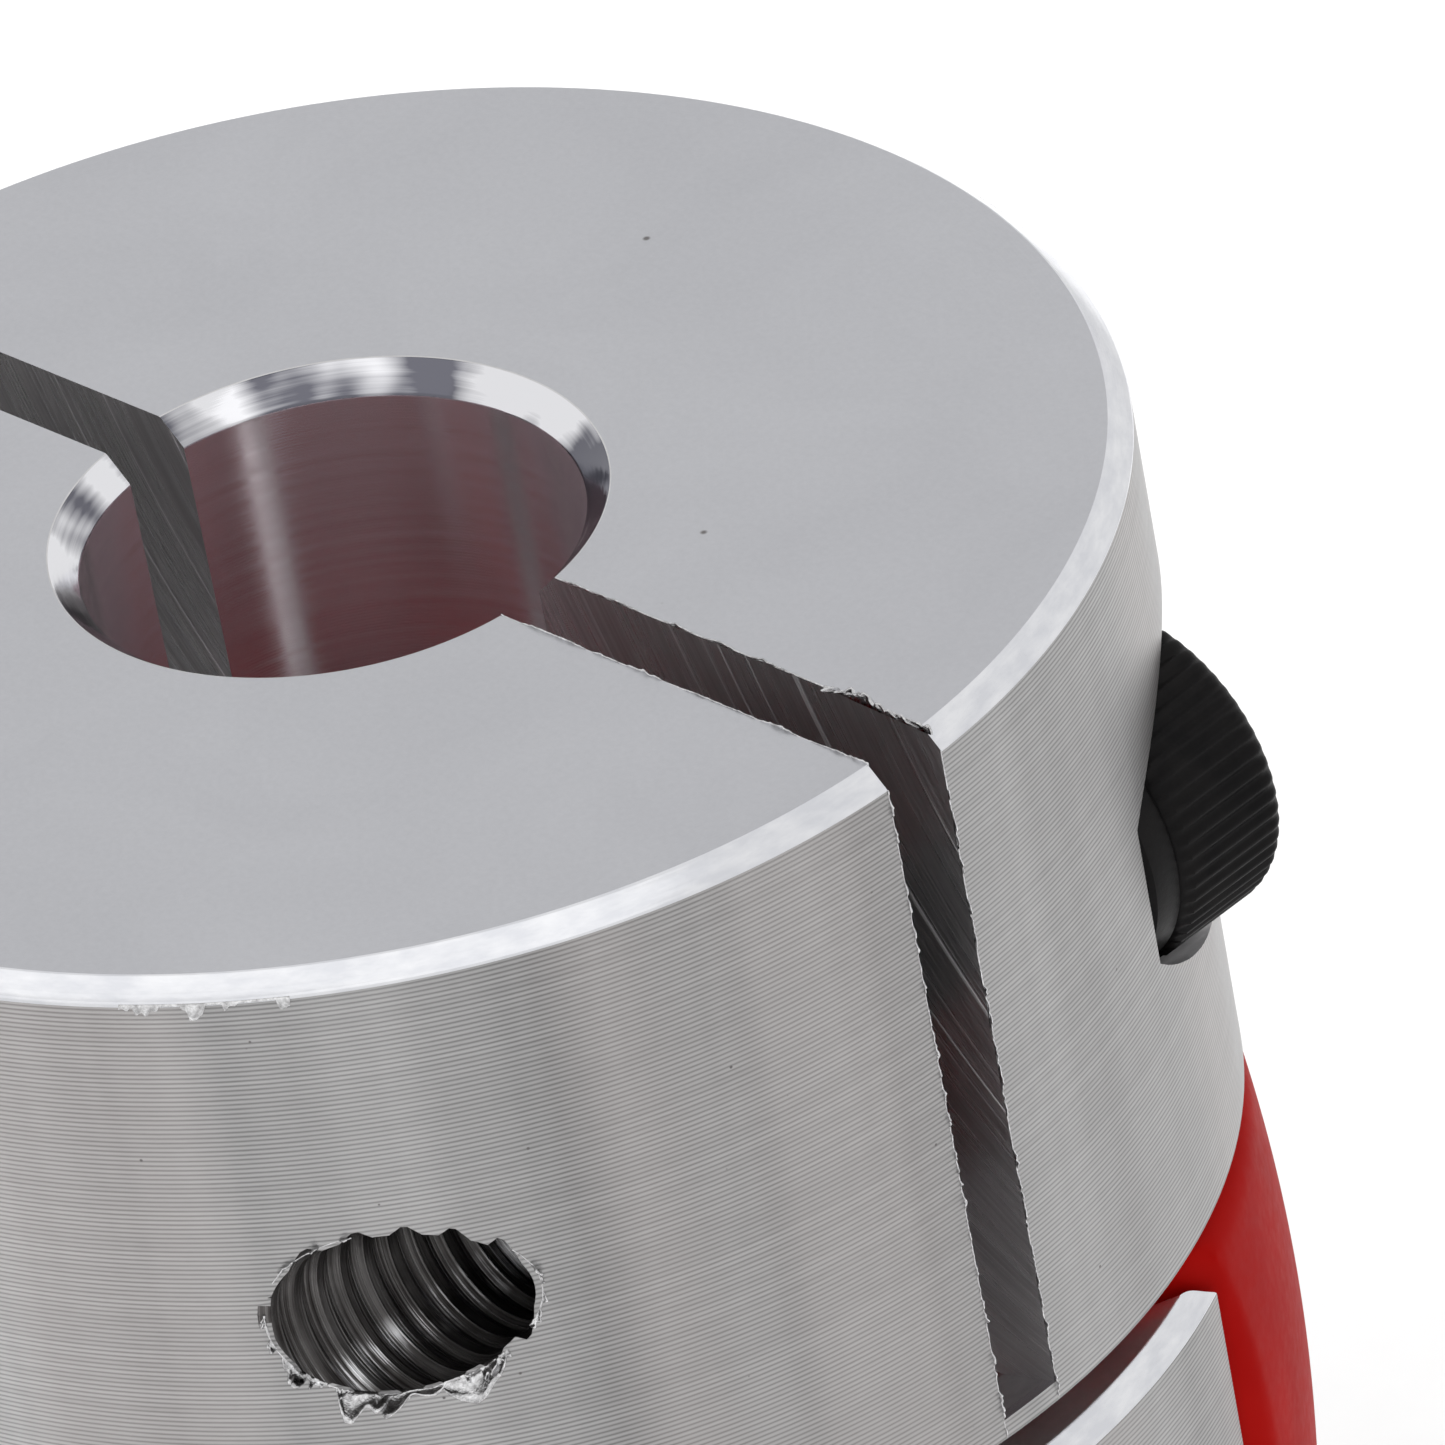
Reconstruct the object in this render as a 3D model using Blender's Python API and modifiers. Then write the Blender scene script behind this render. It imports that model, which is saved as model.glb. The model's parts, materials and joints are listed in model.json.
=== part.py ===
"""Curved-jaw shaft coupling: two clamping aluminium hubs, an elastomer spider between their jaws and a
clamp screw in each hub. Metres, +Z up, lower end face on z = 0, coupling axis on x = y = 0.
The slit of the upper hub points to +X and the head of its clamp screw to +Y."""

import math

import bpy
import bmesh
from mathutils import Matrix, Vector

MM = 0.001

# Driving dimensions
HUB_D = 40.0 * MM
LENGTH = 55.0 * MM
BODY_H = 20.0 * MM            # solid part of one hub, end face to jaw floor
JAW_H = 13.5 * MM             # jaw, from its own floor to its tip
BORE_D = 12.7 * MM
OUTER_CHAMFER = 0.55 * MM
BORE_CHAMFER = 0.7 * MM
TIP_CHAMFER = 0.55 * MM
SLIT_W = 1.9 * MM
SAW_R = 33.0 * MM             # radius of the slitting saw that leaves the curved end of the slit
SAW_CENTRE = (10.0 * MM, 39.5 * MM)   # x, and z from mid length

ARM_ANGLES = (45.0, 135.0, 225.0, 315.0)
ARM_CENTRE_R = 14.2 * MM      # centre of the round flank of an arm, from the coupling axis
JAW_FLANK_R = 8.39 * MM       # hollow flank of a jaw
JAW_INNER_R = 10.0 * MM
FIT_GAP = 0.3 * MM            # spider to jaw flank and to jaw inner face
SPIDER_H = 14.0 * MM
SPIDER_CORE_H = 12.0 * MM
SPIDER_CORE_R = 9.2 * MM
SPIDER_HOLE_R = 3.5 * MM
SPIDER_BULGE_R = 20.4 * MM    # outer face of an arm at mid height
SPIDER_END_R = 19.9 * MM      # outer face of an arm at its ends
SPIDER_ROUND = 1.2 * MM

SCREW_X = 14.0 * MM           # clamp screw axis from the coupling axis
SCREW_Z = 17.5 * MM           # clamp screw axis from mid length, 10 mm below the end face
SEAT_Y = 8.3 * MM             # flat seat in the head pocket
POCKET_R = 4.65 * MM
CLEARANCE_R = 2.75 * MM
TAPPED_R = 2.35 * MM
HEAD_GAP = 0.25 * MM
HEAD_R = 4.25 * MM
HEAD_H = 4.8 * MM
HEAD_ROUND = 0.6 * MM
COLLAR_R = 4.05 * MM          # plain band under the gripped part of the head
COLLAR_H = 1.1 * MM
SHANK_R = 2.0 * MM
SCREW_L = 16.0 * MM
SOCKET_AF = 4.0 * MM
SOCKET_DEPTH = 2.5 * MM

MID_Z = LENGTH / 2
HUB_R = HUB_D / 2
TOP = LENGTH / 2              # end face of the upper hub, from mid length
FLOOR = TOP - BODY_H
TIP = FLOOR - JAW_H
FAR = 30.0 * MM               # cutters reach this far out

HUB_STEPS = 96
SCREW_STEPS = 40


def clear_scene():
    for obj in list(bpy.data.objects):
        bpy.data.objects.remove(obj, do_unlink=True)
    for group in list(bpy.data.collections):
        bpy.data.collections.remove(group)


def new_collection(name):
    group = bpy.data.collections.new(name)
    bpy.context.scene.collection.children.link(group)
    return group


def material(name, colour, metallic, roughness):
    mat = bpy.data.materials.new(name)
    mat.use_nodes = True
    shader = mat.node_tree.nodes["Principled BSDF"]
    shader.inputs["Base Color"].default_value = (*colour, 1.0)
    shader.inputs["Metallic"].default_value = metallic
    shader.inputs["Roughness"].default_value = roughness
    mat.diffuse_color = (*colour, 1.0)
    return mat


def add_object(name, mesh, group):
    obj = bpy.data.objects.new(name, mesh)
    group.objects.link(obj)
    return obj


def as_cutter(obj):
    obj.hide_render = True
    obj.display_type = "WIRE"
    return obj


def revolved(name, profile, steps, group):
    """A closed (radius, z) profile turned about local Z with a Screw modifier."""
    mesh = bpy.data.meshes.new(name)
    bm = bmesh.new()
    verts = [bm.verts.new((r, 0.0, z)) for r, z in profile]
    for first, second in zip(verts, verts[1:] + verts[:1]):
        bm.edges.new((first, second))
    bm.to_mesh(mesh)
    bm.free()
    obj = add_object(name, mesh, group)
    turn = obj.modifiers.new("turn", "SCREW")
    turn.axis = "Z"
    turn.angle = math.tau
    turn.steps = steps
    turn.render_steps = steps
    turn.use_merge_vertices = True
    turn.merge_threshold = 0.000001
    turn.use_normal_calculate = True
    return obj


def frozen(obj, name, group):
    """The evaluated shape of an object as a plain mesh object, closed and facing out."""
    bpy.context.view_layer.update()
    graph = bpy.context.evaluated_depsgraph_get()
    mesh = bpy.data.meshes.new_from_object(obj.evaluated_get(graph))
    mesh.name = name
    bm = bmesh.new()
    bm.from_mesh(mesh)
    bmesh.ops.remove_doubles(bm, verts=bm.verts, dist=0.0000005)
    bmesh.ops.recalc_face_normals(bm, faces=bm.faces)
    if bm.calc_volume(signed=True) < 0:
        bmesh.ops.reverse_faces(bm, faces=bm.faces)
    bm.to_mesh(mesh)
    bm.free()
    made = add_object(name, mesh, group)
    made.matrix_world = obj.matrix_world.copy()
    bpy.data.objects.remove(obj, do_unlink=True)
    return made


def extruded(name, outlines, z_low, z_high, group):
    """Flat closed outlines filled and extruded along local Z; a second outline inside the first is a hole."""
    curve = bpy.data.curves.new(name + "_outline", "CURVE")
    curve.dimensions = "2D"
    curve.fill_mode = "BOTH"
    curve.extrude = (z_high - z_low) / 2
    for outline in outlines:
        spline = curve.splines.new("POLY")
        spline.points.add(len(outline) - 1)
        for point, (x, y) in zip(spline.points, outline):
            point.co = (x, y, 0.0, 1.0)
        spline.use_cyclic_u = True
    obj = add_object(name + "_outline", curve, group)
    obj.location = (0.0, 0.0, (z_low + z_high) / 2)
    return frozen(obj, name, group)


def rod(name, radius, start, end, steps, group):
    """A round cutter between two points."""
    mesh = bpy.data.meshes.new(name)
    bm = bmesh.new()
    length = (end - start).length
    bmesh.ops.create_cone(
        bm, cap_ends=True, segments=steps, radius1=radius, radius2=radius, depth=length
    )
    direction = (end - start).normalized()
    turn = direction.to_track_quat("Z", "Y").to_matrix().to_4x4()
    bmesh.ops.transform(bm, matrix=Matrix.Translation((start + end) / 2) @ turn, verts=bm.verts)
    bm.to_mesh(mesh)
    bm.free()
    return as_cutter(add_object(name, mesh, group))


def boolean(target, cutter, operation="DIFFERENCE"):
    step = target.modifiers.new(cutter.name, "BOOLEAN")
    step.operation = operation
    step.solver = "EXACT"
    step.object = cutter


def arc(centre, radius, start, end, count):
    """Points along an arc; angles in degrees."""
    points = []
    for i in range(count + 1):
        angle = math.radians(start + (end - start) * i / count)
        points.append((centre[0] + radius * math.cos(angle), centre[1] + radius * math.sin(angle)))
    return points


def polar(radius, degrees):
    angle = math.radians(degrees)
    return (radius * math.cos(angle), radius * math.sin(angle))


def flank_angle(flank_r, at_r):
    """How far to the side of an arm's centre line, in degrees, its round flank stands at radius at_r."""
    cosine = (ARM_CENTRE_R**2 + at_r**2 - flank_r**2) / (2 * ARM_CENTRE_R * at_r)
    return math.degrees(math.acos(cosine))


def heading(centre, point):
    return math.degrees(math.atan2(point[1] - centre[1], point[0] - centre[0]))


def jaw_gap_outline():
    """What is cut away between the two jaws of a hub, on the +X side."""
    centre = polar(ARM_CENTRE_R, 45.0)
    outside = polar(HUB_R, 45.0 + flank_angle(JAW_FLANK_R, HUB_R))
    inside = polar(JAW_INNER_R * 0.97, 45.0 + flank_angle(JAW_FLANK_R, JAW_INNER_R * 0.97))
    start = heading(centre, outside)
    end = heading(centre, inside)
    if end < start:
        end += 360.0
    upper = [polar(FAR, 45.0 + flank_angle(JAW_FLANK_R, HUB_R) + 1.0)]
    upper += arc(centre, JAW_FLANK_R, start, end, 14)
    lower = [(x, -y) for x, y in reversed(upper)]
    return upper + lower + [polar(FAR * 1.3, -30.0), polar(FAR * 1.3, 30.0)]


def spider_outline():
    """Four petals with round flanks on a ring, as one closed outline."""
    petal_r = JAW_FLANK_R - FIT_GAP
    ring_r = JAW_INNER_R - FIT_GAP
    half = flank_angle(petal_r, ring_r)
    points = []
    for angle in ARM_ANGLES:
        centre = polar(ARM_CENTRE_R, angle)
        first = heading(centre, polar(ring_r, angle - half))
        last = heading(centre, polar(ring_r, angle + half))
        while last < first:
            last += 360.0
        points += arc(centre, petal_r, first, last, 36)
        points += arc((0.0, 0.0), ring_r, angle + half, angle + 90.0 - half, 5)[1:-1]
    return points


def hub_blank(group):
    """The turned blank: bore, chamfers and the wide recess inside the jaws."""
    bore_r = BORE_D / 2
    profile = [
        (HUB_R - OUTER_CHAMFER, TOP),
        (HUB_R, TOP - OUTER_CHAMFER),
        (HUB_R, TIP + TIP_CHAMFER),
        (HUB_R - TIP_CHAMFER, TIP),
        (JAW_INNER_R, TIP),
        (JAW_INNER_R, FLOOR),
        (bore_r, FLOOR),
        (bore_r, TOP - BORE_CHAMFER),
        (bore_r + BORE_CHAMFER, TOP),
    ]
    return revolved("hub_blank", profile, HUB_STEPS, group)


def hub_shape(group, cutters):
    blank = hub_blank(group)
    gap = jaw_gap_outline()
    other = [(-x, y) for x, y in reversed(gap)]
    for name, outline in (("cut_jaw_gap_near", gap), ("cut_jaw_gap_far", other)):
        boolean(blank, as_cutter(extruded(name, [outline], TIP - 5 * MM, FLOOR, cutters)))
    across = Vector((0.0, 1.0, 0.0))
    middle = Vector((SAW_CENTRE[0], 0.0, SAW_CENTRE[1]))
    half = across * (SLIT_W / 2)
    boolean(blank, rod("cut_slit", SAW_R, middle - half, middle + half, 160, cutters))
    axis = Vector((SCREW_X, 0.0, SCREW_Z))
    seat = axis + across * SEAT_Y
    boolean(blank, rod("cut_head_pocket", POCKET_R, seat, axis + across * FAR, 48, cutters))
    inner = axis - across * (SLIT_W / 4)
    boolean(blank, rod("cut_clearance", CLEARANCE_R, inner, seat + across * MM, 40, cutters))
    boolean(blank, rod("cut_tapped", TAPPED_R, axis - across * FAR, axis, 40, cutters))
    return frozen(blank, "hub", group)


def spider_shape(group, cutters):
    half = SPIDER_H / 2
    core = SPIDER_CORE_H / 2
    side = []
    for i in range(9):
        z = (half - SPIDER_ROUND) * (1 - i / 4)
        side.append((SPIDER_BULGE_R - (SPIDER_BULGE_R - SPIDER_END_R) * (z / half) ** 2, z))
    top_r = side[0][0]
    corner = arc((top_r - SPIDER_ROUND, half - SPIDER_ROUND), SPIDER_ROUND, 90.0, 15.0, 4)
    below = [(r, -z) for r, z in reversed(corner)]
    profile = [(1.5 * MM, core), (SPIDER_CORE_R, core), (SPIDER_CORE_R + 0.6 * MM, half)]
    profile += corner + side + below
    profile += [(SPIDER_CORE_R + 0.6 * MM, -half), (SPIDER_CORE_R, -core), (1.5 * MM, -core)]
    envelope = revolved("spider_envelope", profile, HUB_STEPS, group)
    hole = list(reversed(arc((0.0, 0.0), SPIDER_HOLE_R, 0.0, 352.5, 47)))
    plan = extruded("keep_spider_plan", [spider_outline(), hole], -half - MM, half + MM, cutters)
    boolean(envelope, as_cutter(plan), "INTERSECT")
    return frozen(envelope, "spider", group)


def screw_shape(group, cutters):
    """Socket-head cap screw along local Z, its under-head face on z = 0 and its head above."""
    edge = arc((HEAD_R - HEAD_ROUND, HEAD_H - HEAD_ROUND), HEAD_ROUND, 90.0, 0.0, 4)
    end = 0.5 * MM
    profile = [(0.0, HEAD_H)] + edge
    profile += [(HEAD_R, COLLAR_H + 0.2 * MM), (COLLAR_R, COLLAR_H), (COLLAR_R, 0.0), (SHANK_R, 0.0)]
    profile += [(SHANK_R, end - SCREW_L), (SHANK_R - end, -SCREW_L), (0.0, -SCREW_L)]
    body = revolved("screw_body", profile, SCREW_STEPS, group)
    mesh = bpy.data.meshes.new("cut_socket")
    bm = bmesh.new()
    radius = SOCKET_AF / 2 / math.cos(math.pi / 6)
    bmesh.ops.create_cone(bm, cap_ends=True, segments=6, radius1=radius, radius2=radius, depth=6 * MM)
    place = Matrix.Translation((0.0, 0.0, HEAD_H - SOCKET_DEPTH + 3 * MM))
    bmesh.ops.transform(bm, matrix=place, verts=bm.verts)
    bm.to_mesh(mesh)
    bm.free()
    boolean(body, as_cutter(add_object("cut_socket", mesh, cutters)))
    return frozen(body, "screw", group)


def smooth(obj, degrees):
    obj.data.shade_smooth()
    obj.data.set_sharp_from_angle(angle=math.radians(degrees))


def main():
    clear_scene()
    parts = new_collection("jaw_coupling")
    cutters = new_collection("cutters")
    cutters.hide_render = True

    aluminium = material("aluminium", (0.72, 0.72, 0.74), 1.0, 0.32)
    aluminium_lower = material("aluminium_lower", (0.72, 0.72, 0.74), 1.0, 0.32)
    red_rubber = material("red_polyurethane", (0.55, 0.02, 0.02), 0.0, 0.35)
    black_steel = material("black_oxide_steel", (0.03, 0.03, 0.032), 0.8, 0.45)
    black_lower = material("black_oxide_steel_lower", (0.03, 0.03, 0.032), 0.8, 0.45)

    upper = hub_shape(parts, cutters)
    upper.name = "upper_hub"
    upper.data.materials.append(aluminium)
    smooth(upper, 30)
    upper.location = (0.0, 0.0, MID_Z)

    lower = add_object("lower_hub", upper.data.copy(), parts)
    lower.data.materials.clear()
    lower.data.materials.append(aluminium_lower)
    lower.location = (0.0, 0.0, MID_Z)
    lower.rotation_euler = (math.pi, 0.0, math.pi / 2)

    spider = spider_shape(parts, cutters)
    spider.data.materials.append(red_rubber)
    smooth(spider, 40)
    spider.location = (0.0, 0.0, MID_Z)

    screw = screw_shape(parts, cutters)
    screw.name = "upper_clamp_screw"
    screw.data.materials.append(black_steel)
    smooth(screw, 35)
    under_head = SEAT_Y + HEAD_GAP
    screw.location = (SCREW_X, under_head, MID_Z + SCREW_Z)
    screw.rotation_euler = (-math.pi / 2, 0.0, 0.0)

    second = add_object("lower_clamp_screw", screw.data.copy(), parts)
    second.data.materials.clear()
    second.data.materials.append(black_lower)
    second.location = (under_head, SCREW_X, MID_Z - SCREW_Z)
    second.rotation_euler = (0.0, math.pi / 2, 0.0)


main()
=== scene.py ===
"""Looks for the curved-jaw shaft coupling: finely turned hubs with real threads and tool marks, knurled cap
screws and a moulded spider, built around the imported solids. Metres, in the frame of the solids."""

import json
import math

import bmesh
import bpy
import numpy as np
from mathutils import Matrix, Vector, noise


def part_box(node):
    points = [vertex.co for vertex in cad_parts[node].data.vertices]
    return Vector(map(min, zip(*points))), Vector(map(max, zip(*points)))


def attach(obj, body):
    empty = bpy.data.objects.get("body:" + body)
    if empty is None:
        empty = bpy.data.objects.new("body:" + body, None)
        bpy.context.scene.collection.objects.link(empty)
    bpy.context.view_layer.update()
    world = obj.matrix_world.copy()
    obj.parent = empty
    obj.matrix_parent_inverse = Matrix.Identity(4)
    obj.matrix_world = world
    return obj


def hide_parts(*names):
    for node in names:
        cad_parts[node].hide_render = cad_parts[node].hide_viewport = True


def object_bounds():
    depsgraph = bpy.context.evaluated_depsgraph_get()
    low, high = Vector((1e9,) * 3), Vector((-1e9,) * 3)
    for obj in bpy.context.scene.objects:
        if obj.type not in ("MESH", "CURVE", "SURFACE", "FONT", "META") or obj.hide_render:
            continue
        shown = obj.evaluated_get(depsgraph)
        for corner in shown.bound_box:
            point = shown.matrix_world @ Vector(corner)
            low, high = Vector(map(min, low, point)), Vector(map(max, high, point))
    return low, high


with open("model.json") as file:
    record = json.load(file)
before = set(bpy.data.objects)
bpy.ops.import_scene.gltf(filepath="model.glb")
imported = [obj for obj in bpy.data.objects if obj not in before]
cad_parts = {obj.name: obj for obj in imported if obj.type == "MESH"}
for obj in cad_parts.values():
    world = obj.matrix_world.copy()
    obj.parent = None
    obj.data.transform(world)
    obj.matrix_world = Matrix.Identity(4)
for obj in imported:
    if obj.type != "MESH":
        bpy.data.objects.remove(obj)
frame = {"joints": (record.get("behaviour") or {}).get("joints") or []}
CAD_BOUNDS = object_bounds()

MM = 0.001
JOINTS = {joint["name"]: joint for joint in frame["joints"]}

# Sizes read from the solids
LOW, HIGH = CAD_BOUNDS
MID_Z = (HIGH.z + LOW.z) / 2
HUB_R = (HIGH.x - LOW.x) / 2
TOP = HIGH.z - MID_Z                # end face of the upper hub, from mid length
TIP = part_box("upper_hub")[0].z - MID_Z            # tip of the upper hub's jaws
SPIDER_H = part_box("spider")[1].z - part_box("spider")[0].z
SCREW_X, _, screw_height = JOINTS["upper_screw_turn"]["pos_m"]
SCREW_Z = screw_height - MID_Z
HEAD_R = (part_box("upper_clamp_screw")[1].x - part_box("upper_clamp_screw")[0].x) / 2

# Sizes of a hub that its box doesn't give
BODY_H = 20.0 * MM                  # its solid length
FLOOR = TOP - BODY_H                # floor of the gaps between its jaws
BORE_R = 6.35 * MM
OUTER_CHAMFER = 0.55 * MM
BORE_CHAMFER = 0.7 * MM
TIP_CHAMFER = 0.55 * MM
EDGE_ROUND = 0.06 * MM
INSIDE_EDGE_ROUND = 0.02 * MM
SLIT_W = 1.9 * MM
SAW_R = 33.0 * MM                   # the saw whose arc is the floor of the slit
SAW_X = 10.0 * MM
SAW_Z = 39.5 * MM
JAW_FLANK_R = 8.39 * MM
JAW_INNER_R = 10.0 * MM
JAW_CORNER_R = 0.2 * MM
ARM_CENTRE_R = 14.2 * MM            # centre of a round jaw flank, from the axis
ARM_ANGLES = (45.0, 135.0, 225.0, 315.0)
SEAT_Y = 8.3 * MM                   # where the screw's head sits, from the middle of the slit
POCKET_R = 4.65 * MM
CLEARANCE_R = 2.75 * MM
THREAD_PITCH = 0.8 * MM
THREAD_MINOR_R = 2.28 * MM
THREAD_MAJOR_R = 2.5 * MM
THREAD_L = 18.0 * MM                # runs out through the side of the hub
GLINT_TURN = math.radians(-122.0)    # side of the tapped hole that gets painted glints on its thread crests, as an angle round its axis
GROOVE_PITCH = 0.135 * MM           # feed of the turning tool on the outside

# The spider
FIT_GAP = 0.3 * MM
SPIDER_CORE_H = 12.0 * MM
SPIDER_CORE_R = 9.2 * MM
SPIDER_STEP = 0.6 * MM              # slope from the core up to the arms
SPIDER_HOLE_R = 3.5 * MM
SPIDER_BULGE_R = 20.4 * MM
SPIDER_END_R = 19.9 * MM
SPIDER_ROUND = 1.2 * MM
SPIDER_ROWS = 16
SPIDER_VOXEL = 0.24 * MM

# The cap screws
HEAD_H = 4.8 * MM
HEAD_GAP = 0.25 * MM
HEAD_ROUND = 0.6 * MM
COLLAR_R = 4.05 * MM
COLLAR_H = 1.1 * MM
SOCKET_AF = 4.0 * MM
SOCKET_DEPTH = 2.5 * MM
SOCKET_POINT = 0.95 * MM            # the drilled point below the socket
KNURL_TEETH = 60
KNURL_DEPTH = 0.12 * MM
KNURL_TOOTH = (0.0, 0.12, 0.8, 1.0, 0.8, 0.12)
SCREW_L = 16.0 * MM
SCREW_R = 2.03 * MM                 # clears the tapped hole's minor diameter
SCREW_NECK = 0.7 * MM               # plain shank under the head
SCREW_POINT = 0.9 * MM              # chamfered end
SCREW_THREAD_DEPTH = 0.42 * MM
ROWS_A_TURN = 10
RUN_IN_ROWS = 12

# Steps round the round shapes, and a length that is past every face
HUB_STEPS = 256
POCKET_STEPS = 96
HOLE_STEPS = 64
GROOVE_STEPS = 56
FAR = 30.0 * MM

# The camera and the lights: angles in degrees, power in watts
CAMERA_AIM = Vector((8.7 * MM, 3.9 * MM, HIGH.z - 5.5 * MM))
CAMERA_AZIMUTH = 49.8
CAMERA_ELEVATION = 33.4
CAMERA_ROLL = 10.8
CAMERA_DISTANCE = 418.0 * MM
CAMERA_LENS = 422.5
SENSOR_W = 36.0
FLOOR_SIZE = 3.0
FLOOR_DROP = 0.2 * MM               # keeps the floor clear of the end face
WORLD_LIGHT = 0.80
# The panel: azimuth and elevation as seen from the object, distance, width and height, power
FRONT_PANEL = (30.0, 62.0, 1.2, (1.8, 0.6), 0.8)
# The washes on the floor: where each hangs, where it points, its cone, its power
FLOOR_WASHES = {
    "floor_wash_back": ((-0.34, 0.29, 0.62), (-0.095, 0.08, 0.0), 44.0, 10.0),
    "floor_wash_front": ((-0.02, -0.40, 0.46), (-0.02, -0.11, 0.0), 25.0, 5.0),
}
WASH_SOFTNESS = 0.08

TO_UPPER = Matrix.Translation((0.0, 0.0, MID_Z))
TO_LOWER = TO_UPPER @ Matrix.Rotation(math.pi / 2, 4, "Z") @ Matrix.Rotation(math.pi, 4, "X")

NOISE_SEED = 7
noise.seed_set(NOISE_SEED)          # noise_vector would otherwise start from the clock


# ---------------------------------------------------------------- mesh tools

def mesh_object(name, bm):
    mesh = bpy.data.meshes.new(name)
    bm.to_mesh(mesh)
    bm.free()
    obj = bpy.data.objects.new(name, mesh)
    bpy.context.scene.collection.objects.link(obj)
    return obj


def evaluated_mesh(obj):
    bpy.context.view_layer.update()
    graph = bpy.context.evaluated_depsgraph_get()
    return bpy.data.meshes.new_from_object(obj.evaluated_get(graph))


def apply_modifiers(obj):
    mesh = evaluated_mesh(obj)
    obj.modifiers.clear()
    obj.data = mesh
    return obj


def arc(centre, radius, start, end, count):
    """Points along an arc; angles in degrees."""
    return [
        (centre[0] + radius * math.cos(math.radians(a)), centre[1] + radius * math.sin(math.radians(a)))
        for a in np.linspace(start, end, count + 1)
    ]


def polar(radius, degrees):
    return (radius * math.cos(math.radians(degrees)), radius * math.sin(math.radians(degrees)))


def revolved(name, profile, steps):
    """A closed solid of revolution from a (radius, z) profile that goes once round its section."""
    bm = bmesh.new()
    rings = []
    for radius, z in profile:
        if radius < 1e-9:
            rings.append([bm.verts.new((0.0, 0.0, z))])
            continue
        rings.append([bm.verts.new((*polar(radius, 360.0 * i / steps), z)) for i in range(steps)])
    pairs = list(zip(rings, rings[1:]))
    if len(rings[0]) > 1:
        pairs.append((rings[-1], rings[0]))
    for first, second in pairs:
        for i in range(steps):
            corners = [first[i % len(first)], first[(i + 1) % len(first)],
                       second[(i + 1) % len(second)], second[i % len(second)]]
            unique = list(dict.fromkeys(corners))
            if len(unique) > 2:
                bm.faces.new(unique)
    bmesh.ops.recalc_face_normals(bm, faces=bm.faces)
    return mesh_object(name, bm)


def prism(name, outline, z_low, z_high):
    """A closed outline extruded along Z."""
    bm = bmesh.new()
    low = [bm.verts.new((x, y, z_low)) for x, y in outline]
    high = [bm.verts.new((x, y, z_high)) for x, y in outline]
    count = len(outline)
    for i in range(count):
        j = (i + 1) % count
        bm.faces.new((low[i], low[j], high[j], high[i]))
    bm.faces.new(high)
    bm.faces.new(list(reversed(low)))
    bmesh.ops.recalc_face_normals(bm, faces=bm.faces)
    return mesh_object(name, bm)


def lofted(name, layers):
    """A closed solid through rings of points that all hold the same number."""
    bm = bmesh.new()
    rings = [[bm.verts.new(point) for point in layer] for layer in layers]
    for first, second in zip(rings, rings[1:]):
        for i in range(len(first)):
            j = (i + 1) % len(first)
            bm.faces.new((first[i], first[j], second[j], second[i]))
    bm.faces.new(rings[0])
    bm.faces.new(list(reversed(rings[-1])))
    bmesh.ops.recalc_face_normals(bm, faces=bm.faces)
    return mesh_object(name, bm)


def rod(name, radius, start, end, steps):
    bm = bmesh.new()
    length = (end - start).length
    bmesh.ops.create_cone(
        bm, cap_ends=True, segments=steps, radius1=radius, radius2=radius, depth=length
    )
    turn = (end - start).normalized().to_track_quat("Z", "Y").to_matrix().to_4x4()
    bmesh.ops.transform(bm, matrix=Matrix.Translation((start + end) / 2) @ turn, verts=bm.verts)
    return mesh_object(name, bm)


def boolean(target, cutter, operation="DIFFERENCE"):
    step = target.modifiers.new(cutter.name, "BOOLEAN")
    step.operation = operation
    step.solver = "EXACT"
    step.object = cutter
    apply_modifiers(target)
    bpy.data.objects.remove(cutter, do_unlink=True)


def thread_groove(name, minor_r, major_r, pitch, length, steps):
    """The helical groove of an internal thread from z = 0 down to -length, as a closed swept solid."""
    turns = length / pitch
    half_in = pitch * 0.40
    half_out = pitch * 0.07
    inner_r = minor_r - 0.06 * MM
    section = [(inner_r, half_in), (major_r, half_out), (major_r, -half_out), (inner_r, -half_in)]
    bm = bmesh.new()
    rings = []
    count = int(turns * steps)
    for i in range(count + 1):
        angle = math.tau * i / steps
        drop = -pitch * i / steps
        rings.append([
            bm.verts.new((r * math.cos(angle), -r * math.sin(angle), drop + dz)) for r, dz in section
        ])
    for first, second in zip(rings, rings[1:]):
        for j in range(4):
            k = (j + 1) % 4
            bm.faces.new((first[j], first[k], second[k], second[j]))
    bm.faces.new(rings[0])
    bm.faces.new(list(reversed(rings[-1])))
    bmesh.ops.recalc_face_normals(bm, faces=bm.faces)
    return mesh_object(name, bm)


def smooth_by_angle(obj, degrees):
    obj.data.shade_smooth()
    obj.data.set_sharp_from_angle(angle=math.radians(degrees))
    weighted = obj.modifiers.new("weighted", "WEIGHTED_NORMAL")
    weighted.keep_sharp = True
    weighted.weight = 100
    apply_modifiers(obj)


# ---------------------------------------------------------------- shapes

def flank_angle(flank_r, at_r):
    cosine = (ARM_CENTRE_R**2 + at_r**2 - flank_r**2) / (2 * ARM_CENTRE_R * at_r)
    return math.degrees(math.acos(cosine))


def heading(centre, point):
    return math.degrees(math.atan2(point[1] - centre[1], point[0] - centre[0]))


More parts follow.
